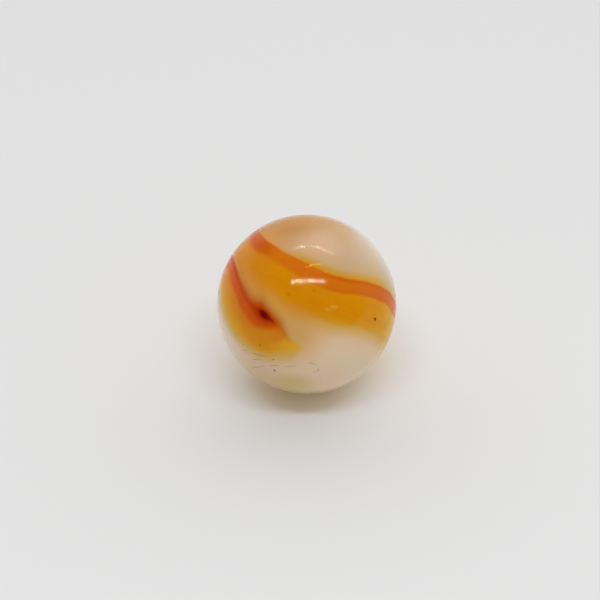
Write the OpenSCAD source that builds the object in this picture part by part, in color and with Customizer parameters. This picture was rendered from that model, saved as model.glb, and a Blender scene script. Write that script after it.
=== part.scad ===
// Glass play marble: one solid ball of machine-made swirl glass.
//
// Streams of coloured glass run together over the furnace spout, are sheared
// off as one gob and are rolled round between two grooved steel screws. The
// colours are fused, so the marble is a single piece with no core and no seam.
//
// Millimetres, +Z up, origin at the middle of the ball.
// Places on the skin are given as on a globe: longitude 0 faces -Y and grows
// towards +X, and latitude grows from 0 at the equator to 90 at the top.

/* [Ball] */
// Diameter of the ball
ball_d = 16; // [12:0.5:25]
// Facets round the ball in a preview
ball_fn = 180; // [48:12:240]

/* [Skin marks] */
// Diameter of the widest pit, where a seed bubble broke through the skin
pit_d = 0.24; // [0.12:0.04:0.4]
// Width of a hairline crease, where the skin chilled and folded
crease_w = 0.08; // [0.04:0.02:0.16]
// Share of a crease's width that lies under the skin
crease_sink = 0.6; // [0.3:0.1:0.8]

/* [Hidden] */

ball_r = ball_d / 2;
mark_fn = 24;
glass_colour = [0.80, 0.58, 0.30];

// Each pit: longitude, latitude, and its size as a share of pit_d
PITS = [
    [52, 16.2, 1.0],
    [-31.5, 6.5, 0.7],
    [-45, 0, 0.6],
    [-21.6, -1.2, 0.7],
    [-21.3, -11.2, 0.85],
    [7.3, -7.5, 0.7],
];

// Each crease: longitude and latitude of its middle, its slope as it rises
// to the right, its length, and the radius it curls with, all in degrees.
// A radius of 90 is a straight crease, one that follows a great circle, and
// a crease with a slope over 90 curls downwards.
CREASES = [
    [-44, -4, 36, 5, 90],
    [-32, -1.5, 9, 12, 60],
    [-34, -6.5, 24, 9, 90],
    [-33.5, -13.5, 35, 15, 90],
    [-21.5, -6.5, 25, 8, 90],
    [-10.5, -4.5, 15, 9, 90],
    [3.5, -1, 156, 6, 3.5],
    [5, -9.2, 3, 3, 90],
];

// Carries its children from straight along +X out to a place on the skin
module at_place(longitude, latitude) {
    rotate([0, -latitude, longitude - 90])
        children();
}

// A round-bottomed pit, as deep as its radius
module pit(longitude, latitude, share) {
    at_place(longitude, latitude)
        translate([ball_r, 0, 0])
            sphere(d = pit_d * share, $fn = mark_fn);
}

// A round-bottomed groove that runs along an arc of the skin
module crease(longitude, latitude, slope, length, curl) {
    sweep = length / sin(curl);
    run_r = ball_r + crease_w * (0.5 - crease_sink);
    at_place(longitude, latitude)
        rotate([slope, 0, 0])
            rotate([0, 90 - curl, 0])
                rotate([0, 0, -sweep / 2])
                    rotate_extrude(angle = sweep, $fn = ball_fn)
                        translate([run_r * sin(curl), run_r * cos(curl)])
                            circle(d = crease_w, $fn = mark_fn);
}

module marble() {
    color(glass_colour)
        difference() {
            sphere(d = ball_d, $fn = ball_fn);
            for (p = PITS)
                pit(p[0], p[1], p[2]);
            for (c = CREASES)
                crease(c[0], c[1], c[2], c[3], c[4]);
        }
}

marble();
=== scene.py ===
# %% [markdown]
# # A swirl glass marble
#
# The object is a play marble: one ball of glass, 16 mm across, with an orange and red swirl in it.
# Nothing is painted on and nothing is set inside. In the factory, streams of coloured glass run
# together over the furnace spout, shears cut the stream into gobs, and two grooved screws roll each
# gob round while it cools. Each stream could be a body of its own, but real ones are fused, with no
# face between them. So the model is one closed mesh with one material: the mesh has the true form of
# the skin, and the material says how the streams of colour lie in the glass.
#
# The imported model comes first, because its ball gives every size that follows.

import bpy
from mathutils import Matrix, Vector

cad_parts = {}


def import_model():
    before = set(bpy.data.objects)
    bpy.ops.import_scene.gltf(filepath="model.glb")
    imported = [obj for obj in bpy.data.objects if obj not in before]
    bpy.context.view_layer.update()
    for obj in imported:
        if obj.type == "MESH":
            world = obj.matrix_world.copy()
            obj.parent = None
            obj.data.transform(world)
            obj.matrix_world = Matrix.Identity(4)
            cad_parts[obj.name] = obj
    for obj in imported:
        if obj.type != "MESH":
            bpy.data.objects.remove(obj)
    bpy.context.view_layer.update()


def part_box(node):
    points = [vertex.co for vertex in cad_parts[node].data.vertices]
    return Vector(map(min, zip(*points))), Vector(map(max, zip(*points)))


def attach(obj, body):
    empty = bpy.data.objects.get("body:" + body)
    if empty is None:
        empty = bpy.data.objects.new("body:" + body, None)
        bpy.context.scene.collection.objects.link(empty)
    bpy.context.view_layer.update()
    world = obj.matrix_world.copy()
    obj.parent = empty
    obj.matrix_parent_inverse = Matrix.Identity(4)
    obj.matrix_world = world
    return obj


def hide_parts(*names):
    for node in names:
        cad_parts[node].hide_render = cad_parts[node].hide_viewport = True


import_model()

# %% The modules that the rest uses
import math

import bpy
import numpy as np
from mathutils import Matrix, Vector

print("Blender", bpy.app.version_string)

# %% The ball's size
MM = 0.001
ball_low, ball_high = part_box("marble")
ball_r = (ball_high.z - ball_low.z) / 2
print(f"the ball is {2 * ball_r / MM:.2f} mm across")

# %% [markdown]
# ## Places on the skin
#
# A place on a ball could be given by x, y and z, but it is easiest to say as on a globe. Longitude 0
# faces -Y and grows towards +X, and latitude grows from 0 at the equator to 90 at the top. One short
# function turns the two angles into a direction from the middle of the ball, and every mark on the
# skin uses it.


# %% A direction from two angles
def on_globe(longitude, latitude):
    """The direction of a place on the skin."""
    lon, lat = math.radians(longitude), math.radians(latitude)
    return Vector((math.sin(lon) * math.cos(lat), -math.cos(lon) * math.cos(lat), math.sin(lat)))


print("the front of the ball is", tuple(on_globe(0, 0)))

# %% [markdown]
# ## The marks in the skin
#
# Real marbles of this kind aren't perfect. Where a tiny gas bubble burst at the surface it leaves a
# round pit, and where the skin chilled before the rest it folds into a hairline crease. Bump in the
# material could suggest them, but marks that are pressed into the mesh stay true from every side.
# They lie where the exact model has them, so their places are said in the same way: a pit by its
# longitude, latitude and width, and a crease by the place of its middle, the slope at which it rises
# to the right, its length, and the radius that it curls with, in degrees of arc. A radius of 90 is a
# straight crease.

# %% Pits and creases
PITS = [
    (52, 16.2, 0.24 * MM),
    (-31.5, 6.5, 0.17 * MM),
    (-45, 0, 0.15 * MM),
    (-21.6, -1.2, 0.17 * MM),
    (-21.3, -11.2, 0.2 * MM),
    (7.3, -7.5, 0.17 * MM),
]
CREASES = [
    (-44, -4, 36, 5, 90),
    (-32, -1.5, 9, 12, 60),
    (-34, -6.5, 24, 9, 90),
    (-33.5, -13.5, 35, 15, 90),
    (-21.5, -6.5, 25, 8, 90),
    (-10.5, -4.5, 15, 9, 90),
    (3.5, -1, 156, 6, 3.5),
    (5, -9.2, 3, 3, 90),
]
CREASE_W = 0.09 * MM
CREASE_DEPTH = 0.035 * MM
STEP_DEGREES = 0.2


def crease_line(longitude, latitude, slope, length, curl):
    """Directions along a crease, one for every STEP_DEGREES, and how full the crease is there."""
    turn = (
        Matrix.Rotation(math.radians(longitude - 90), 3, "Z")
        @ Matrix.Rotation(math.radians(-latitude), 3, "Y")
        @ Matrix.Rotation(math.radians(slope), 3, "X")
        @ Matrix.Rotation(math.radians(90 - curl), 3, "Y")
    )
    radius = math.radians(curl)
    sweep = math.radians(length) / math.sin(radius)
    start = Vector((math.sin(radius), 0, math.cos(radius)))
    steps = max(2, round(length / STEP_DEGREES))
    line = []
    for i in range(steps + 1):
        t = i / steps
        around = Matrix.Rotation(sweep * (t - 0.5), 3, "Z")
        line.append((turn @ around @ start, math.sin(math.pi * t) ** 0.5))
    return line


crease_dots = [dot for crease in CREASES for dot in crease_line(*crease)]
print(len(PITS), "pits, and", len(CREASES), "creases in", len(crease_dots), "steps")

# %% [markdown]
# ## The ball
#
# A globe mesh from the Add menu crowds its faces at two poles, which show as a pinch in the shine.
# A cube has no poles. Its faces are divided finely, and the Cast modifier then pushes every corner
# out onto a ball, which leaves even, four-sided faces all over. The skin marks are much smaller than
# those faces, so the faces around them are divided again, three times over, and cast again.

# %% A cube of fine squares, cast into a ball
FACES_A_SIDE = 84
PIECE = "swirl_marble"

bpy.ops.object.select_all(action="DESELECT")
bpy.ops.mesh.primitive_cube_add(size=2 * ball_r, location=(0, 0, 0))
marble = bpy.context.object
marble.name = PIECE
marble.data.name = PIECE

bpy.ops.object.mode_set(mode="EDIT")
bpy.ops.mesh.select_all(action="SELECT")
bpy.ops.mesh.subdivide(number_cuts=FACES_A_SIDE - 1)
bpy.ops.object.mode_set(mode="OBJECT")


def cast_round(piece):
    """Pushes every corner of the piece out onto the ball."""
    cast = piece.modifiers.new("cast_round", "CAST")
    cast.cast_type = "SPHERE"
    cast.use_radius_as_size = False
    cast.size = ball_r
    cast.factor = 1
    bpy.ops.object.modifier_apply(modifier=cast.name)


cast_round(marble)
print("the plain ball has", len(marble.data.polygons), "faces")


# %% Distances along the skin
def coordinates(items, key):
    """The x, y and z of every item of a mesh, as rows."""
    flat = np.zeros(len(items) * 3)
    items.foreach_get(key, flat)
    return flat.reshape(-1, 3)


def distance_to(points, centres):
    """How far each point lies from the nearest of the centres, along the skin."""
    rays = points / np.linalg.norm(points, axis=1)[:, None]
    cosine = np.full(len(rays), -1.0)
    for centre in centres:
        cosine = np.maximum(cosine, rays @ np.array(centre))
    return ball_r * np.arccos(np.clip(cosine, -1, 1))


mark_centres = [on_globe(lon, lat) for lon, lat, _ in PITS] + [place for place, _ in crease_dots]
print("the marks have", len(mark_centres), "centres")

# %% Divide the faces around the marks
REFINE_REACH = (0.45 * MM, 0.3 * MM, 0.2 * MM)

for reach in REFINE_REACH:
    near = distance_to(coordinates(marble.data.polygons, "center"), mark_centres) < reach
    bpy.ops.object.mode_set(mode="EDIT")
    bpy.context.tool_settings.mesh_select_mode = (False, False, True)
    bpy.ops.mesh.select_all(action="DESELECT")
    bpy.ops.object.mode_set(mode="OBJECT")
    marble.data.polygons.foreach_set("select", near)
    bpy.ops.object.mode_set(mode="EDIT")
    bpy.ops.mesh.subdivide(number_cuts=1, ngon=False)
    bpy.ops.object.mode_set(mode="OBJECT")
    cast_round(marble)
    print("after dividing", int(near.sum()), "faces the ball has", len(marble.data.polygons))

# %% [markdown]
# ## How deep the marks are
#
# The Displace modifier moves each corner along its normal by the weight that a vertex group gives it.
# Sculpting could press the marks too, but weights that are worked out from the distance to a pit or
# a crease put each mark exactly where the list says. A pit is a round-bottomed hole as deep as half
# its width, and a crease is a shallow groove that runs out to nothing at both ends.


# %% Weights for the marks
def pit_share(points, longitude, latitude, reach):
    """How far each point lies from the middle of a pit, as a share of the reach."""
    return distance_to(points, [on_globe(longitude, latitude)]) / reach


def pit_depth(points):
    """How deep the pits press each point."""
    depth = np.zeros(len(points))
    for lon, lat, width in PITS:
        share = pit_share(points, lon, lat, width / 2)
        depth = np.maximum(depth, width / 2 * np.sqrt(np.clip(1 - share**2, 0, 1)))
    return depth


def crease_depth(points):
    """How deep the creases press each point."""
    depth = np.zeros(len(points))
    for place, fullness in crease_dots:
        share = distance_to(points, [place]) / (CREASE_W / 2)
        depth = np.maximum(depth, CREASE_DEPTH * fullness * np.clip(1 - share**2, 0, 1))
    return depth


points = coordinates(marble.data.vertices, "co")
creased = crease_depth(points)
pressed = np.maximum(pit_depth(points), creased)
deepest = pressed.max()
marks = marble.vertex_groups.new(name="marks")
for index in np.nonzero(pressed > 0)[0]:
    marks.add([int(index)], float(pressed[index] / deepest), "REPLACE")
print("deepest mark:", round(deepest / MM, 3), "mm,", int((pressed > 0).sum()), "corners pressed")

# %% [markdown]
# ## Painted shade in the marks
#
# The pits and creases are darkened in the colour. This is painted shade: the shadow that such
# hollows hold, laid into the base colour. An image could be painted with it, but an attribute on the
# corners of the mesh follows the marks by itself, and the material reads it later. The shade reaches a
# little past the rim of a pit. The widest pit is the darkest, the shallow small ones much less, and a
# crease is half as dark at the most.

# %% The painted shade of every corner
WIDEST_PIT = max(width for _, _, width in PITS)
CREASE_SHADE = 0.5
PIT_SHADE_REACH = 0.7
PIT_SHADE_FILL = 1.6
SHADE_BY_WIDTH = 3.5
LEAST_PIT_SHADE = 0.32

# How dark the painted shade in the marks is at every corner
shaded = CREASE_SHADE * creased / CREASE_DEPTH
for lon, lat, width in PITS:
    fill = PIT_SHADE_FILL * (1 - pit_share(points, lon, lat, PIT_SHADE_REACH * width) ** 2)
    darkest = max((width / WIDEST_PIT) ** SHADE_BY_WIDTH, LEAST_PIT_SHADE)
    shaded = np.maximum(shaded, np.clip(fill, 0, 1) * darkest)
mark_shade = marble.data.attributes.new("mark_shade", "FLOAT", "POINT")
mark_shade.data.foreach_set("value", shaded.astype(np.float32))
print(int((shaded > 0).sum()), "corners are dirty")

# %% [markdown]
# ## Pressing, and a ball that isn't quite round
#
# Rolling screws leave a marble about a hundredth of a millimetre out of round. After the marks are
# pressed, a slow cloud texture displaces the whole skin by that much: too little to see in the
# outline, but enough to bend a reflection as real glass does. A perfect ball would look machined.

# %% Press the marks, then the slow waves of the skin
SKIN_WAVE = 0.012 * MM
SKIN_WAVE_LENGTH = 4 * MM

press = marble.modifiers.new("press_marks", "DISPLACE")
press.vertex_group = marks.name
press.strength = -deepest
press.mid_level = 0
bpy.ops.object.modifier_apply(modifier=press.name)

skin_clouds = bpy.data.textures.new("skin_waves", "CLOUDS")
skin_clouds.noise_scale = SKIN_WAVE_LENGTH
skin_clouds.noise_depth = 1
waves = marble.modifiers.new("skin_waves", "DISPLACE")
waves.texture = skin_clouds
waves.texture_coords = "LOCAL"
waves.strength = SKIN_WAVE
waves.mid_level = 0.5
bpy.ops.object.modifier_apply(modifier=waves.name)
marble.vertex_groups.clear()

bpy.ops.object.shade_smooth()
skin = np.linalg.norm(coordinates(marble.data.vertices, "co"), axis=1)
print(f"the skin lies {skin.min() / MM:.3f} to {skin.max() / MM:.3f} mm from the middle")

# %% [markdown]
# ## Tools for the glass
#
# The material could be wired by hand in the node editor. Here short helpers wire it, so that each
# idea can be read on a line of its own: one adds a node and fills its inputs, one works out a sum,
# and two make soft steps. Effects are node groups with named inputs and outputs.


# %% Colours
def srgb(red, green, blue):
    """A colour given from 0 to 255 a channel, as the linear colour that shaders use."""
    shares = [channel / 255 for channel in (red, green, blue)]
    return tuple(s / 12.92 if s <= 0.04045 else ((s + 0.055) / 1.055) ** 2.4 for s in shares) + (1,)


print("a grey that looks half bright is", round(srgb(128, 128, 128)[0], 3), "to a shader")


# %% Helpers that wire nodes
def feed(tree, socket, value):
    """Links another node's output to the socket, or sets the socket to a plain value."""
    if isinstance(value, bpy.types.NodeSocket):
        tree.links.new(value, socket)
    else:
        socket.default_value = value


def add_node(tree, kind, sockets=None, **settings):
    """Adds a node. settings are its own properties, and sockets are its inputs by name or number."""
    node = tree.nodes.new(kind)
    for name, value in settings.items():
        setattr(node, name, value)
    for key, value in (sockets or {}).items():
        feed(tree, node.inputs[key], value)
    return node


def calc(tree, operation, *values):
    """The result of one Math node."""
    node = add_node(tree, "ShaderNodeMath", operation=operation)
    for socket, value in zip(node.inputs, values):
        feed(tree, socket, value)
    return node.outputs["Value"]


def rise(tree, value, low, high):
    """A soft step, 0 below low and 1 above high."""
    sockets = {"Value": value, "From Min": low, "From Max": high}
    return add_node(tree, "ShaderNodeMapRange", sockets, interpolation_type="SMOOTHSTEP").outputs["Result"]


def fall(tree, value, low, high):
    """The same step turned over, 1 below low and 0 above high."""
    return calc(tree, "SUBTRACT", 1.0, rise(tree, value, low, high))


def noise(tree, vector, scale, detail):
    """The grey clouds of one Noise Texture node."""
    sockets = {"Vector": vector, "Scale": scale, "Detail": detail}
    return add_node(tree, "ShaderNodeTexNoise", sockets).outputs["Fac"]


def blend(tree, share, under, over):
    """A colour between two colours."""
    node = add_node(tree, "ShaderNodeMix", {"Factor": share}, data_type="RGBA")
    feed(tree, node.inputs[6], under)
    feed(tree, node.inputs[7], over)
    return node.outputs[2]


print("helpers:", *(tool.__name__ for tool in (feed, add_node, calc, rise, fall, noise, blend)))

# %% Helpers for node groups
FLOAT, VECTOR = "NodeSocketFloat", "NodeSocketVector"


def start_group(name, inputs, outputs):
    """An empty node group with named sockets. Returns it with its inside ends."""
    tree = bpy.data.node_groups.new(name, "ShaderNodeTree")
    for label, kind in inputs.items():
        tree.interface.new_socket(name=label, in_out="INPUT", socket_type=kind)
    for label, kind in outputs.items():
        tree.interface.new_socket(name=label, in_out="OUTPUT", socket_type=kind)
    return tree, tree.nodes.new("NodeGroupInput").outputs, tree.nodes.new("NodeGroupOutput").inputs


def use_group(tree, group, sockets):
    """Places a node group in a tree, with its inputs filled. Returns its outputs."""
    node = tree.nodes.new("ShaderNodeGroup")
    node.node_tree = group
    for key, value in sockets.items():
        feed(tree, node.inputs[key], value)
    return node.outputs


print("helpers:", start_group.__name__, use_group.__name__)

# %% [markdown]
# ## A chart of the ball
#
# The streams were wound round the gob as it turned, so each ribbon of colour runs round the ball,
# rising and falling a little. Brush strokes on an image could draw that, but an image blurs when the
# camera comes close. On a chart of longitude and latitude, whose poles are the poles of the winding,
# a ribbon is just a band between two wavy lines, and it is sharp at any distance. The first group
# makes that chart from a direction. A little noise shifts the latitude, as the stream wandered while
# it sank, and a second noise, stretched along the ribbons, gives the fine striae of drawn glass.

# %% The chart group
STRIA_STRETCH = 1.2
STRIA_EDGES = (0.35, 0.65)

chart_group, chart_in, chart_out = start_group(
    "winding_chart",
    {"Vector": VECTOR, "Wander": FLOAT, "Wander Size": FLOAT, "Stria Width": FLOAT},
    {"Longitude": FLOAT, "Latitude": FLOAT, "Direction": VECTOR, "Stria": FLOAT},
)


def build_chart(tree):
    """Longitude and latitude in degrees, the latitude shifted by up to half of Wander, and the striae."""
    ray = add_node(tree, "ShaderNodeVectorMath", {0: chart_in["Vector"]}, operation="NORMALIZE").outputs[0]
    xyz = add_node(tree, "ShaderNodeSeparateXYZ", {"Vector": ray}).outputs
    front = calc(tree, "MULTIPLY", xyz["Y"], -1.0)
    longitude = calc(tree, "DEGREES", calc(tree, "ARCTAN2", xyz["X"], front))
    latitude = calc(tree, "DEGREES", calc(tree, "ARCSINE", xyz["Z"]))
    wander = calc(tree, "SUBTRACT", noise(tree, ray, chart_in["Wander Size"], 3.0), 0.5)
    latitude = calc(tree, "ADD", latitude, calc(tree, "MULTIPLY", wander, chart_in["Wander"]))
    drawn = add_node(
        tree,
        "ShaderNodeCombineXYZ",
        {
            "X": calc(tree, "MULTIPLY", xyz["X"], STRIA_STRETCH),
            "Y": calc(tree, "MULTIPLY", xyz["Y"], STRIA_STRETCH),
            "Z": calc(tree, "DIVIDE", latitude, chart_in["Stria Width"]),
        },
    ).outputs["Vector"]
    feed(tree, chart_out["Longitude"], longitude)
    feed(tree, chart_out["Latitude"], latitude)
    feed(tree, chart_out["Direction"], ray)
    feed(tree, chart_out["Stria"], rise(tree, noise(tree, drawn, 1.0, 2.0), *STRIA_EDGES))


build_chart(chart_group)
print(chart_group.name, "has", len(chart_group.nodes), "nodes")

# %% [markdown]
# ## Bands, patches and flecks
#
# Three shapes of colour are enough for the swirl. A band lies between two lines on the chart and is
# soft at both edges. A patch is a round area, wide and very soft, for glass that is tinted all
# through, and for painted light on the rims and round the glints. A fleck is a small drawn-out spot,
# such as a drop of darker glass, a scar in the skin and a painted glint.
# Each is a node group, so that it is built once and placed as often as the swirl needs it. A line is
# a Float Curve node, which passes smoothly through a few given points.


# %% Lines on the chart
def chart_line(tree, longitude, places):
    """A latitude for every longitude, on a smooth curve through a few places given in degrees."""
    share = calc(tree, "ADD", calc(tree, "DIVIDE", longitude, 360.0), 0.5)
    node = add_node(tree, "ShaderNodeFloatCurve", {"Value": share})
    curve = node.mapping.curves[0]
    spots = [(lon / 360 + 0.5, lat / 180 + 0.5) for lon, lat in places]
    curve.points[0].location, curve.points[1].location = spots[0], spots[-1]
    for spot in spots[1:-1]:
        curve.points.new(*spot)
    node.mapping.update()
    return calc(tree, "MULTIPLY_ADD", node.outputs["Value"], 180.0, -90.0)


print("helper:", chart_line.__name__)

# %% A band between two lines
band_group, band_in, band_out = start_group(
    "band",
    {"Latitude": FLOAT, "Bottom": FLOAT, "Bottom Blur": FLOAT, "Top": FLOAT, "Top Blur": FLOAT},
    {"Mask": FLOAT, "Share": FLOAT},
)


def build_band(tree):
    """The mask fades over the blur on each side of a line. The share is 0 at the bottom, 1 at the top."""
    latitude, bottom, top = band_in["Latitude"], band_in["Bottom"], band_in["Top"]
    above = []
    for line, blur in ((bottom, band_in["Bottom Blur"]), (top, band_in["Top Blur"])):
        low, high = calc(tree, "SUBTRACT", line, blur), calc(tree, "ADD", line, blur)
        above.append(rise(tree, latitude, low, high))
    inside = calc(tree, "MULTIPLY", above[0], calc(tree, "SUBTRACT", 1.0, above[1]))
    share = add_node(tree, "ShaderNodeMapRange", {"Value": latitude, "From Min": bottom, "From Max": top})
    feed(tree, band_out["Mask"], inside)
    feed(tree, band_out["Share"], share.outputs["Result"])


build_band(band_group)
print(band_group.name, "has", len(band_group.nodes), "nodes")

# %% A soft round patch
patch_group, patch_in, patch_out = start_group(
    "patch", {"Vector": VECTOR, "Centre": VECTOR, "Radius": FLOAT, "Blur": FLOAT}, {"Mask": FLOAT}
)


def build_patch(tree):
    """1 within Radius degrees of the centre's direction, fading to 0 over Blur degrees more."""
    rays = {0: patch_in["Vector"], 1: patch_in["Centre"]}
    cosine = add_node(tree, "ShaderNodeVectorMath", rays, operation="DOT_PRODUCT").outputs["Value"]
    away = calc(tree, "DEGREES", calc(tree, "ARCCOSINE", cosine))
    rim = calc(tree, "ADD", patch_in["Radius"], patch_in["Blur"])
    feed(tree, patch_out["Mask"], fall(tree, away, patch_in["Radius"], rim))


build_patch(patch_group)
print(patch_group.name, "has", len(patch_group.nodes), "nodes")

# %% A small drawn-out fleck
fleck_group, fleck_in, fleck_out = start_group(
    "fleck",
    {"Longitude": FLOAT, "Latitude": FLOAT, "At Longitude": FLOAT, "At Latitude": FLOAT,
     "Slope": FLOAT, "Length": FLOAT, "Width": FLOAT, "Blur": FLOAT},
    {"Mask": FLOAT},
)


def build_fleck(tree):
    """An ellipse of the given half length and half width, soft from 1 - Blur to 1 + Blur of its size."""
    east = calc(tree, "SUBTRACT", fleck_in["Longitude"], fleck_in["At Longitude"])
    north = calc(tree, "SUBTRACT", fleck_in["Latitude"], fleck_in["At Latitude"])
    slope = calc(tree, "RADIANS", fleck_in["Slope"])
    sine, cosine = calc(tree, "SINE", slope), calc(tree, "COSINE", slope)
    along = calc(tree, "ADD", calc(tree, "MULTIPLY", east, cosine), calc(tree, "MULTIPLY", north, sine))
    sideways = calc(tree, "MULTIPLY", east, sine)
    across = calc(tree, "SUBTRACT", calc(tree, "MULTIPLY", north, cosine), sideways)
    squares = []
    for run, half in ((along, fleck_in["Length"]), (across, fleck_in["Width"])):
        squares.append(calc(tree, "POWER", calc(tree, "DIVIDE", run, half), 2.0))
    size = calc(tree, "SQRT", calc(tree, "ADD", *squares))
    low, high = calc(tree, "SUBTRACT", 1.0, fleck_in["Blur"]), calc(tree, "ADD", 1.0, fleck_in["Blur"])
    feed(tree, fleck_out["Mask"], fall(tree, size, low, high))


build_fleck(fleck_group)
print(fleck_group.name, "has", len(fleck_group.nodes), "nodes")

# %% [markdown]
# ## The glass
#
# The swirl could be laid out round the upright axis of the ball, but its ribbons lean. So the poles
# of the winding lean too: they are tipped back by the angle from which a marble on a table is usually
# looked at, and rolled over to one side. A Mapping node turns the chart so, and the ribbons then run
# nearly level on it. A few short helpers place each shape of colour on this one chart.

# %% Turn the chart to the winding
WINDING_TIP = 40
WINDING_ROLL = -25

glass = bpy.data.materials.new("milky_swirl_glass")
glass.use_nodes = True
tree = glass.node_tree
tree.nodes.clear()

coords = add_node(tree, "ShaderNodeTexCoord")
turned = add_node(tree, "ShaderNodeMapping", {"Vector": coords.outputs["Object"]}, vector_type="POINT")
turned.inputs["Rotation"].default_value = (math.radians(WINDING_TIP), math.radians(WINDING_ROLL), 0)
winding = use_group(
    tree,
    chart_group,
    {"Vector": turned.outputs["Vector"], "Wander": 2.0, "Wander Size": 4.0, "Stria Width": 3.0},
)
longitude, latitude, direction, stria = (
    winding[name] for name in ("Longitude", "Latitude", "Direction", "Stria")
)
print("the winding is tipped", WINDING_TIP, "and rolled", WINDING_ROLL, "degrees")


# %% Shapes of colour on this chart
def line(*places):
    """A line on this material's chart."""
    return chart_line(tree, longitude, places)


def moved(edge, degrees):
    """A line moved up by some degrees of latitude, or down where they are negative."""
    return calc(tree, "ADD", edge, degrees)


def band(bottom, bottom_blur, top, top_blur):
    """A band on this material's chart. Returns its mask and its share."""
    sockets = {
        "Latitude": latitude, "Bottom": bottom, "Bottom Blur": bottom_blur, "Top": top, "Top Blur": top_blur
    }
    made = use_group(tree, band_group, sockets)
    return made["Mask"], made["Share"]


def patch(lon, lat, radius, blur):
    """The mask of a patch at a longitude and latitude of the winding."""
    sockets = {"Vector": direction, "Centre": on_globe(lon, lat), "Radius": radius, "Blur": blur}
    return use_group(tree, patch_group, sockets)["Mask"]


def fleck(lon, lat, slope, length, width, blur=0.5):
    """The mask of a fleck at a longitude and latitude of the winding."""
    sockets = {"Longitude": longitude, "Latitude": latitude, "At Longitude": lon, "At Latitude": lat,
               "Slope": slope, "Length": length, "Width": width, "Blur": blur}
    return use_group(tree, fleck_group, sockets)["Mask"]


print("shapes:", *(shape.__name__ for shape in (line, moved, band, patch, fleck)))


# %% Where a colour starts and ends, and how it is laid on
def past(low, high):
    """A soft step along the chart, 0 before the first longitude and 1 past the second."""
    return rise(tree, longitude, low, high)


def before(low, high):
    """The same step turned over, 1 before the first longitude and 0 past the second."""
    return fall(tree, longitude, low, high)


def both(*masks):
    """The masks multiplied: where all of them are."""
    share = masks[0]
    for mask in masks[1:]:
        share = calc(tree, "MULTIPLY", share, mask)
    return share


def either(first, second):
    """The stronger of two masks at each place."""
    return calc(tree, "MAXIMUM", first, second)


def tint(colour, mask, over, strength=1.0):
    """The colour with another laid over it where the mask is."""
    share = mask if strength == 1.0 else both(mask, strength)
    return blend(tree, share, colour, over)


def tint_patches(colour, rows):
    """Lays soft patches over a colour. A row is longitude, latitude, radius, blur, colour and strength."""
    for lon, lat, radius, blur, over, strength in rows:
        colour = tint(colour, patch(lon, lat, radius, blur), over, strength)
    return colour


print("masks and tints:", *(tool.__name__ for tool in (past, before, both, either, tint, tint_patches)))

# %% [markdown]
# ## The ground glass
#
# Between the ribbons the marble is a milky glass. It isn't one colour: above, it is honey and beige,
# where more of the amber stream mixed in, and below it is a paler cream. The paleness below is partly
# the glass's own and partly painted light, which stands in for light that comes through the milky
# glass to the underside. A noise could mottle it, but the streams left a few wide tints in known
# places, and those are wide soft patches, given one by one. Three of the patches are painted light: a
# lighter peach at the top is a painted highlight round the glints there, and a pale patch on the right
# rim and a lilac one on the lower left rim are painted reflections of the bright tent. The glass
# between the two ribbons takes on their colour, ochre in the middle and amber at the side.

# %% The ground
BEIGE = srgb(204, 176, 144)
# A painted highlight: the lighter peach round the place of the glints at the top.
PAINTED_HIGHLIGHT_PEACH = srgb(219, 184, 153)
HONEY = srgb(190, 138, 76)
# A painted reflection: the pale sheen of the bright tent on the right-hand rim.
PAINTED_RIM_PALE = srgb(214, 203, 188)
# CREAM is partly painted light: the lower glass is paler than it is, for light that comes through to the
# underside.
CREAM = srgb(230, 206, 176)
# A painted reflection: the pale sheen of the bright tent on the lower left rim.
PAINTED_RIM_LILAC = srgb(234, 211, 190)
TAN = srgb(211, 181, 133)
AMBER = srgb(218, 154, 74)
OCHRE = srgb(218, 164, 62)
OLIVE = srgb(208, 188, 112)

# Below any latitude that there is, so that the lower glass has no bottom edge
LOWEST = -200.0
LOWER_TOP = 4.0
LOWER_BLUR = 12.0

upper = tint_patches(BEIGE, [
    (-40, 75, 5.0, 34.0, HONEY, 0.6),
    # a painted highlight round the glints at the top
    (-12, 39, 4.0, 18.0, PAINTED_HIGHLIGHT_PEACH, 0.7),
    (-64, 45, 10.0, 28.0, HONEY, 1.0),
    # a painted reflection on the right-hand rim
    (96, 60, 6.0, 38.0, PAINTED_RIM_PALE, 1.0),
])
# Paler than the upper glass, partly as painted light from light that passes through the glass.
lower = tint_patches(CREAM, [
    # a painted reflection on the lower left rim
    (-90, -48, 10.0, 32.0, PAINTED_RIM_LILAC, 1.0),
    (25, -85, 8.0, 36.0, TAN, 1.0),
    (32, -61, 4.0, 15.0, OLIVE, 0.6),
])
below, _ = band(LOWEST, 1.0, LOWER_TOP, LOWER_BLUR)
ground = tint_patches(tint(upper, below, lower), [
    (-48, 0, 16.0, 28.0, AMBER, 1.0),
    (-8, -18, 8.0, 30.0, OCHRE, 0.85),
    (2, -17, 2.0, 13.0, TAN, 0.3),
])
print("the ground is wired with", len(tree.nodes), "nodes")

# %% [markdown]
# ## The long ribbon
#
# This ribbon starts at the back in a soft point, crosses the front, and goes on round the far side,
# where it runs into the hooked ribbon. Its upper edge is a red-orange stripe, where a thin red stream
# ran along the orange one, and the stripe is darker along its own two edges. Under it lies the broad
# golden body, which thins out downwards to olive, over a sandy shade in the ground. Above the upper
# edge only a skin of yellow glass is left, which shows as an olive fringe and a faint haze.
#
# Each of these is a band, and the bands share three lines, so that they stay together as the ribbon
# rises and falls. A line is given by places, longitude and latitude, wherever the ribbon bends.

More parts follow.
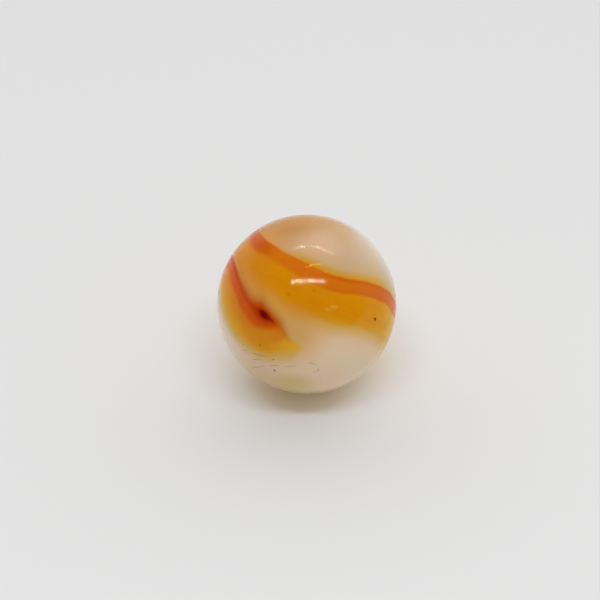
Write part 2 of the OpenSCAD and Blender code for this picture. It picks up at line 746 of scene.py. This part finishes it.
# %% The long ribbon's lines
long_top = line(
    (-180, 41), (-165, 43.5), (-140, 41), (-110, 36.5), (-83, 32.5), (-63, 29), (-50, 26.5), (-39, 25.5),
    (-30, 24.4), (-17, 24.2), (-5, 24.0), (5, 24.3), (12, 24.8), (21, 26.6), (31, 29.4), (42, 31),
    (54, 31.6), (65, 30.6), (80, 26), (110, 19), (145, 13), (180, 12),
)
long_red = line(
    (-180, 40), (-165, 38), (-140, 34), (-110, 29), (-83, 25), (-70, 21.8), (-56, 17.7), (-39, 17),
    (-26, 15.3), (-12, 14.2), (7, 14), (18, 16), (33, 20), (41, 21.2), (50, 22), (61, 21.2), (75, 16.5),
    (110, 11), (145, 5), (180, 4),
)
long_bottom = line(
    (-180, 38), (-165, 30), (-140, 19), (-110, 10), (-80, 5), (-60, 2), (-50, 1), (-40, -1), (-30, -3),
    (-20, -5.5), (-10, -7.6), (0, -8.3), (10, -8.6), (20, -8.5), (30, -6), (40, -3.8), (50, -2.5),
    (60, -2.5), (75, -5), (100, -10), (140, -18), (180, -20),
)
print("with the long ribbon's lines there are", len(tree.nodes), "nodes")

# %% The haze, the sandy shade and the fringe round the long ribbon
HAZE = srgb(205, 166, 96)
SAND = srgb(224, 176, 116)
FRINGE = srgb(211, 160, 48)
HAZE_WIDTH = 11.0
SAND_WIDTH = 8.0
FRINGE_WIDTH = 4.2

ribbon_there = both(past(-180.0, -158.0), before(140.0, 178.0))
haze_there = both(past(-36.0, -12.0), before(100.0, 160.0))
sand_there = both(past(0.0, 20.0), before(60.0, 90.0))

haze, _ = band(long_red, 3.0, moved(long_top, HAZE_WIDTH), 8.0)
sand, _ = band(moved(long_bottom, -SAND_WIDTH), 6.0, long_top, 1.4)
fringe, _ = band(long_red, 3.0, moved(long_top, FRINGE_WIDTH), 3.0)
colour = tint(ground, both(haze, haze_there), HAZE, 0.4)
colour = tint(colour, both(sand, sand_there), SAND, 0.25)
colour = tint(colour, both(fringe, before(44.0, 76.0), haze_there), FRINGE)
print("with the haze there are", len(tree.nodes), "nodes")

# %% The golden body
GOLD = srgb(222, 148, 0)
BROWN_GOLD = srgb(212, 136, 22)
THIN_GOLD = srgb(221, 170, 36)
OLIVE_GOLD = srgb(216, 175, 44)

body_mask, body_share = band(long_bottom, 7.5, long_top, 1.4)
thin_side = fall(tree, body_share, -0.05, 0.32)
body = tint(GOLD, before(-52.0, -20.0), BROWN_GOLD)
body = tint(body, past(46.0, 80.0), THIN_GOLD)
body = tint(body, both(thin_side, past(-10.0, 25.0)), OLIVE_GOLD)
body = tint(body, stria, BROWN_GOLD, 0.2)
colour = tint(colour, both(body_mask, ribbon_there), body)
print("with the golden body there are", len(tree.nodes), "nodes")

# %% The red-orange stripe
ORANGE = srgb(215, 118, 14)
BURNT_ORANGE = srgb(206, 96, 6)
DEEP_ORANGE = srgb(196, 80, 0)

stripe_blur = add_node(
    tree,
    "ShaderNodeMapRange",
    {"Value": longitude, "From Min": -60.0, "From Max": 10.0, "To Min": 3.0, "To Max": 1.2},
).outputs["Result"]
stripe_mask, stripe_share = band(long_red, stripe_blur, long_top, 1.2)
upper_rim = both(rise(tree, stripe_share, 0.66, 0.92), past(-5.0, 12.0))
lower_rim = both(fall(tree, stripe_share, 0.08, 0.28), past(0.0, 16.0))
stripe = tint(ORANGE, past(20.0, 48.0), BURNT_ORANGE, 0.5)
stripe = tint(stripe, upper_rim, BURNT_ORANGE, 0.8)
stripe = tint(stripe, lower_rim, BURNT_ORANGE, 0.35)
stripe = tint(stripe, before(-54.0, -30.0), DEEP_ORANGE, 0.8)
colour = tint(colour, both(stripe_mask, ribbon_there), stripe)
print("with the stripe there are", len(tree.nodes), "nodes")

# %% [markdown]
# ## The hooked ribbon
#
# The second ribbon comes round from the back and ends at the front in a hook, where the stream was
# sheared off. The red stream lies along its inner edge, and a warm shade spreads from there into the
# ground. At the bend it gathered in one drop of oxblood red, which is the darkest place on the
# marble, and outwards the red thins to orange, gold and olive. The tip of the hook is lemon.
#
# It is made as the long ribbon is, of bands, with five lines from the inner edge to the outer. Where
# the long ribbon fades out on the far side, the hook's bands lie on the same lines and fade in, so
# the two ribbons are joined without an edge.

# %% The hook's lines
hook_top = line(
    (-180, 12), (-140, 10.5), (-110, 9), (-85, 8.5), (-77, 7.8), (-69, 5.2), (-60, 1.5), (-52, -2.8),
    (-45, -7.2), (-40, -10.2), (-36, -12.3), (-32, -12.3), (-28, -11.3), (-24, -12.8), (-20, -14.3),
    (-14, -17.0), (-9, -19.9), (-4.5, -23.2), (1, -26), (7, -26.5), (12, -28), (30, -40), (60, -20),
    (110, 19), (145, 13), (180, 12),
)
hook_dark = line(
    (-180, 9), (-110, 7), (-85, 6), (-72, 5.2), (-59.5, -1.2), (-51.5, -6.2), (-44.5, -11.2), (-38, -15),
    (-32, -16.6), (-24, -17.8), (-15.5, -20.2), (-8, -24), (30, -40), (60, -20), (110, 16), (145, 10),
    (180, 9),
)
hook_red = line(
    (-180, 4), (-140, 3), (-110, 2), (-85, 1), (-70, -2), (-58.5, -9.5), (-49.5, -15.5), (-43.5, -20.5),
    (-38, -23.5), (-33.5, -26), (-28, -27.8), (-22, -27.3), (-16, -25), (-9.5, -23.5), (30, -42),
    (60, -24), (110, 11), (145, 5), (180, 4),
)
hook_orange = line(
    (-180, 0), (-140, 0), (-110, -2), (-85, -4), (-70, -9), (-58, -17), (-50, -23), (-42, -28),
    (-36, -31.5), (-28, -35.5), (-20, -36.5), (-13, -34), (-7, -30), (-3, -26), (14, -23), (30, -40),
    (60, -28), (110, 4), (145, 1), (180, 0),
)
hook_bottom = line(
    (-180, -16), (-140, -12), (-110, -8), (-90, -9), (-76, -16), (-69, -24.5), (-63, -31), (-57, -35.5),
    (-51, -39.5), (-44, -42.7), (-35, -45.5), (-25, -46.8), (-14, -46.3), (-3, -41.5), (6, -36),
    (11, -33), (30, -50), (60, -35), (110, -11), (145, -17), (180, -16),
)
print("with the hook's lines there are", len(tree.nodes), "nodes")

# %% Where the hook ends
join = past(100.0, 165.0)
off_join = calc(tree, "SUBTRACT", 1.0, join)
hook_end = either(before(6.0, 13.0), join)
red_end = either(before(-18.0, -7.0), join)


def hook_band(*edges):
    """The mask of a band that stops at the hook's blunt end."""
    return both(band(*edges)[0], hook_end)


print("the hook and its join are laid out with", len(tree.nodes), "nodes")

# %% The hook's thin edges, gold and lemon tip
OLIVE_EDGE = srgb(216, 179, 92)
HOOK_GOLD = srgb(221, 148, 6)
HOOK_YELLOW = srgb(227, 168, 34)
HOOK_LEMON = srgb(226, 181, 46)

hook_gold = hook_band(moved(hook_bottom, 3.5), 4.5, hook_top, 1.8)
_, width_share = band(hook_bottom, 1.0, hook_orange, 1.0)
thin_edge = either(fall(tree, width_share, 0.2, 0.9), both(past(-20.0, -3.0), off_join))
hook_body = tint(HOOK_GOLD, thin_edge, HOOK_YELLOW)
hook_body = tint(hook_body, both(past(0.0, 9.0), off_join), HOOK_LEMON)

colour = tint(colour, hook_band(moved(hook_bottom, -SAND_WIDTH), 6.0, hook_top, 2.0), SAND, 0.3)
colour = tint(colour, hook_band(moved(hook_bottom, -2.5), 6.0, moved(hook_top, 1.0), 2.0), OLIVE_EDGE)
colour = tint(colour, hook_gold, hook_body)
print("with the hook's gold there are", len(tree.nodes), "nodes")

# %% The hook's orange and reds
HOOK_ORANGE = srgb(220, 124, 0)
HOOK_RED = srgb(209, 84, 0)
HOOK_SHADE = srgb(188, 86, 26)
DARK_RED = srgb(190, 54, 0)

red, _ = band(hook_red, 3.0, hook_top, 1.8)
shade, _ = band(moved(hook_top, -1.0), 2.5, moved(hook_top, 2.0), 5.5)
dark, _ = band(moved(hook_dark, -1.0), 1.8, moved(hook_dark, 1.6), 1.6)
colour = tint(colour, hook_band(hook_orange, 4.0, hook_top, 1.8), HOOK_ORANGE, 0.75)
colour = tint(colour, both(patch(-22, -35, 5.0, 12.0), hook_gold), HOOK_GOLD, 0.6)
colour = tint(colour, both(red, red_end), HOOK_RED, 0.9)
colour = tint(colour, both(shade, past(-74.0, -42.0), before(-12.0, 4.0)), HOOK_SHADE, 0.9)
colour = tint(colour, both(dark, red_end), DARK_RED, 0.75)
print("with the hook's reds there are", len(tree.nodes), "nodes")

# %% [markdown]
# ## The oxblood drop, scars under the skin, and a painted glint
#
# The drop at the bend is dark in the middle and soft all round, and no single spot fades like that.
# So it is three flecks, each smaller than the one under it. A few small things lie just under the
# skin: two pale smears and two faint dark specks. They don't break the surface, so they are flecks of
# colour and nothing is pressed for them. A pale comma of flecks near the top is a painted highlight: the
# glint of a lamp, laid into the colour. Last of all comes the painted shade of the marks.

# %% Flecks, a painted glint, and the painted shade in the marks
OXBLOOD = srgb(122, 0, 0)
# A painted highlight: the pale glint of a lamp, laid into the colour.
PAINTED_GLINT = srgb(255, 190, 105)
SMEAR = srgb(240, 170, 60)
SPECK = srgb(150, 84, 10)
# Painted shade: the colour that darkens the pits and creases.
MARK_SHADE = srgb(70, 20, 0)

# Longitude, latitude, slope, half length, half width, blur, colour and strength
FLECKS = [
    (-25.0, -19.0, -14.0, 7.0, 3.8, 0.7, DARK_RED, 0.8),
    (-23.6, -17.6, -20.0, 4.8, 2.3, 0.6, OXBLOOD, 1.0),
    (-18.6, -18.4, -24.0, 3.4, 1.2, 0.7, OXBLOOD, 0.5),
    # These four are a painted highlight: a lamp's glint, a comma near the top
    (-8.8, 24.0, 45.0, 1.3, 0.8, 0.5, PAINTED_GLINT, 0.8),
    (-5.0, 26.8, 29.0, 3.6, 0.45, 0.5, PAINTED_GLINT, 0.7),
    (-10.8, 21.7, 22.0, 1.6, 0.4, 0.5, PAINTED_GLINT, 0.4),
    (2.4, 24.3, 10.0, 1.0, 0.7, 0.5, PAINTED_GLINT, 0.35),
    (16.6, 5.7, 20.0, 2.4, 1.3, 0.5, SMEAR, 0.6),
    (14.0, 2.5, 10.0, 2.0, 1.3, 0.5, SMEAR, 0.4),
    (-13.2, 0.8, 10.0, 1.6, 1.0, 0.5, SPECK, 0.25),
    (0.3, 9.8, 0.0, 1.2, 0.9, 0.5, SPECK, 0.25),
]
for *shape, over, fleck_strength in FLECKS:
    colour = tint(colour, fleck(*shape), over, fleck_strength)
# The marks are darkened in the colour: painted shade, the shadow that the hollows hold.
mark_shade_share = add_node(tree, "ShaderNodeAttribute", attribute_name="mark_shade").outputs["Fac"]
colour = tint(colour, mark_shade_share, MARK_SHADE)
print(len(FLECKS), "flecks, and", len(tree.nodes), "nodes in all")

# %% [markdown]
# ## The shine
#
# The skin is fire-polished, but drawn glass keeps a fine ripple. Pressing it into the mesh would take
# millions of faces. A Bump node does it with a noise whose waves are a third of a millimetre long and
# at most six thousandths high. It can't be seen in the colour, but it breaks a lamp's reflection into
# uneven lengths, which is how such a skin gives itself away. The polish isn't the same everywhere, so
# a second, slow noise changes the roughness a little.

# %% Ripple and roughness
RIPPLE_SIZE = 0.32 * MM
RIPPLE_HEIGHT = 0.006 * MM
POLISH_SCALE = 5.0
POLISH_BEST = 0.07
POLISH_WORST = 0.1

ripple = noise(tree, coords.outputs["Object"], 1 / RIPPLE_SIZE, 0.0)
bump = add_node(tree, "ShaderNodeBump", {"Height": ripple, "Distance": RIPPLE_HEIGHT, "Strength": 1.0})
polish = noise(tree, direction, POLISH_SCALE, 3.0)
roughness = add_node(
    tree, "ShaderNodeMapRange", {"Value": polish, "To Min": POLISH_BEST, "To Max": POLISH_WORST}
)
print(f"the ripple is {RIPPLE_HEIGHT / MM:.3f} mm high")

# %% [markdown]
# ## Milky glass
#
# Clear glass would need rays that bend through it, and then the ribbons would have to be solid. This
# glass is milky: light goes in, scatters under the skin and comes out nearby. That is subsurface
# scattering, which softens every edge of colour as the real glass does. It reaches about a
# millimetre for red and less for green and blue. Some light also passes right through and warms the
# shadow, so a shadow ray meets a thin amber film instead of a solid ball.

# %% The shader
GLASS_IOR = 1.5
SKIN_SHINE = 0.12
SCATTER = 1.0 * MM
SCATTER_BY_COLOUR = (1.0, 0.5, 0.25)
LIGHT_THROUGH = (0.54, 0.425, 0.08, 1)

shader = add_node(
    tree,
    "ShaderNodeBsdfPrincipled",
    {"Base Color": colour, "Roughness": roughness.outputs["Result"], "Normal": bump.outputs["Normal"],
     "IOR": GLASS_IOR, "Specular IOR Level": SKIN_SHINE,
     "Subsurface Weight": 1.0, "Subsurface Scale": SCATTER, "Subsurface Radius": SCATTER_BY_COLOUR},
)
through = add_node(tree, "ShaderNodeBsdfTransparent", {"Color": LIGHT_THROUGH})
shadow_ray = add_node(tree, "ShaderNodeLightPath").outputs["Is Shadow Ray"]
surface = add_node(
    tree, "ShaderNodeMixShader", {0: shadow_ray, 1: shader.outputs["BSDF"], 2: through.outputs["BSDF"]}
)
add_node(tree, "ShaderNodeOutputMaterial", {"Surface": surface.outputs["Shader"]})
marble.data.materials.append(glass)
print(glass.name, "is on", marble.name)

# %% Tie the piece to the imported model
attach(marble, "root")
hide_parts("marble")
print(marble.name, "has", len(marble.data.polygons), "faces")

# %% [markdown]
# ## Floor, light and camera
#
# The marble lies on a plain pale floor in a light tent, which lights it softly from all round, more
# from behind and a little more from the right. One world could be both the light and the room, but a
# skin as glossy as this would mirror a room that is as bright as its light. So the world shows two
# faces: diffuse rays meet the light of the tent, and rays that look or mirror meet the room, which is
# as pale as the floor behind the marble and dim in front of it and overhead.

# %% The floor
FLOOR_SIZE = 6
FLOOR_GREY = 0.76
FLOOR_ROUGHNESS = 0.9

bpy.ops.object.select_all(action="DESELECT")
bpy.ops.mesh.primitive_plane_add(size=FLOOR_SIZE, location=(0, 0, -ball_r))
floor = bpy.context.object
floor.name = "floor"
paper = bpy.data.materials.new("floor_paper")
paper.use_nodes = True
paper_inputs = paper.node_tree.nodes["Principled BSDF"].inputs
paper_inputs["Base Color"].default_value = (FLOOR_GREY,) * 3 + (1,)
paper_inputs["Roughness"].default_value = FLOOR_ROUGHNESS
paper_inputs["Specular IOR Level"].default_value = 0
floor.data.materials.append(paper)
print(f"the floor lies {ball_r / MM:.2f} mm under the middle of the ball")

# %% The light of the tent
SKY = 0.4
SKY_BACK = 1.2
SKY_RIGHT = 0.243

world = bpy.data.worlds.new("tent")
bpy.context.scene.world = world
world.use_nodes = True
world.cycles.sampling_method = "NONE"
air = world.node_tree
air.nodes.clear()
outwards = add_node(air, "ShaderNodeTexCoord").outputs["Generated"]
xyz = add_node(air, "ShaderNodeSeparateXYZ", {"Vector": outwards}).outputs
back_light = calc(air, "MULTIPLY", calc(air, "MAXIMUM", xyz["Y"], 0.0), SKY_BACK)
side_light = calc(air, "MULTIPLY", calc(air, "MAXIMUM", xyz["X"], 0.0), SKY_RIGHT)
tent_light = calc(air, "ADD", calc(air, "ADD", back_light, side_light), SKY)
print("the tent's light is", SKY, "all round, up to", SKY_BACK, "more from behind")

# %% The room that shows
ROOM_DIM = 0.12
OVERHEAD = (0.25, 0.5)
IN_FRONT = (0.0, -0.3)

dim = calc(air, "MAXIMUM", rise(air, xyz["Z"], *OVERHEAD), rise(air, xyz["Y"], *IN_FRONT))
room = add_node(air, "ShaderNodeMapRange", {"Value": dim, "To Min": FLOOR_GREY, "To Max": ROOM_DIM})
path = add_node(air, "ShaderNodeLightPath").outputs
seen = calc(air, "MAXIMUM", path["Is Camera Ray"], path["Is Glossy Ray"])
seen = calc(air, "MAXIMUM", seen, path["Is Transmission Ray"])
strength = add_node(
    air, "ShaderNodeMapRange", {"Value": seen, "To Min": tent_light, "To Max": room.outputs["Result"]}
)
sky = add_node(air, "ShaderNodeBackground", {"Strength": strength.outputs["Result"]})
sky.inputs["Color"].default_value = (1, 1, 1, 1)
add_node(air, "ShaderNodeOutputWorld", {"Surface": sky.outputs["Background"]})
print("the room is", FLOOR_GREY, "behind the marble and", ROOM_DIM, "in front")

# %% [markdown]
# ## The lamps
#
# Every bright line on a marble is a picture of a lamp, so the lamps are laid out from their glints. A
# long strip hangs above and a little in front, and lights the marble as well. Thin bright tubes lie
# end to end along the middle of it, and two more rows hang above and behind. One long lamp with dark
# gaps painted on it would do the same, but separate tubes are simpler to move. The tubes are hidden
# from diffuse rays: they show as glints and leave the light on the marble as it is.


# %% A lamp, and a row of tubes
LAMP_DISTANCE = 0.5


def strip_lamp(name, elevation, across, length, depth, glow, tube=None):
    """A long narrow lamp that lies along X. Elevation 90 is overhead and more leans to the back."""
    light = bpy.data.lights.new(name, "AREA")
    light.shape = "RECTANGLE"
    light.size, light.size_y = length, depth
    light.energy = glow * length * depth * math.pi
    lamp = bpy.data.objects.new(name, light)
    lean = math.radians(90 - elevation)
    lamp.rotation_euler = (lean, 0, 0)
    lamp.location = Vector((across, -math.sin(lean) * LAMP_DISTANCE, math.cos(lean) * LAMP_DISTANCE))
    lamp.visible_camera = False
    if tube:
        light.color = tube
        lamp.visible_diffuse = False
    bpy.context.scene.collection.objects.link(lamp)


def tube_row(name, depth, colour, tubes):
    """Thin tubes end to end. Each is given by its elevation, its two ends along X, and its glow."""
    for number, (elevation, left, right, glow) in enumerate(tubes):
        strip_lamp(f"{name}_{number}", elevation, (left + right) / 2, right - left, depth, glow, colour)


# %% The strip and the tubes
FRONT_TUBE = (1, 0.97, 0.62)
BACK_TUBE = (1, 0.9, 0.85)
FRONT_TUBE_DEPTH = 0.015
BACK_TUBE_DEPTH = 0.04

strip_lamp("front_strip", elevation=70, across=0.022, length=0.4, depth=0.055, glow=13.4)
tube_row("front_tube", FRONT_TUBE_DEPTH, FRONT_TUBE, [
    (70, -0.172, -0.003, 86),
    (70, 0.011, 0.111, 99),
    (70, 0.125, 0.219, 66),
])
tube_row("back_tube_left", BACK_TUBE_DEPTH, BACK_TUBE, [
    (119, -0.109, -0.068, 8),
    (119, -0.066, -0.016, 18),
])
tube_row("back_tube_right", BACK_TUBE_DEPTH, BACK_TUBE, [
    (119, 0.041, 0.143, 17),
    (117, 0.15, 0.26, 9),
])
print("lamps:", sorted(lamp.name for lamp in bpy.data.lights))

# %% [markdown]
# ## The camera
#
# It looks down at 40 degrees, as somebody at a table does. A close camera would see much less than
# half of the ball and swell the near side, so it stands far off and has a very long lens.

# %% The camera
VIEW_ELEVATION = 40
CAMERA_DISTANCE = 0.8
LENS = 538.2
SENSOR_WIDTH = 36
AIM = Vector((-0.6 * MM, 0, 0.475 * MM))

eye = bpy.data.cameras.new("camera")
eye.lens = LENS
eye.sensor_width = SENSOR_WIDTH
eye.clip_start, eye.clip_end = 0.01, 20
camera = bpy.data.objects.new("camera", eye)
back = Vector((0, -math.cos(math.radians(VIEW_ELEVATION)), math.sin(math.radians(VIEW_ELEVATION))))
camera.location = AIM + back * CAMERA_DISTANCE
camera.rotation_mode = "QUATERNION"
camera.rotation_quaternion = (-back).to_track_quat("-Z", "Y")
bpy.context.scene.collection.objects.link(camera)
bpy.context.scene.camera = camera
print("the camera is at", tuple(round(x, 3) for x in camera.location))

# %% Colour management, and the end
bpy.context.scene.view_settings.view_transform = "Standard"
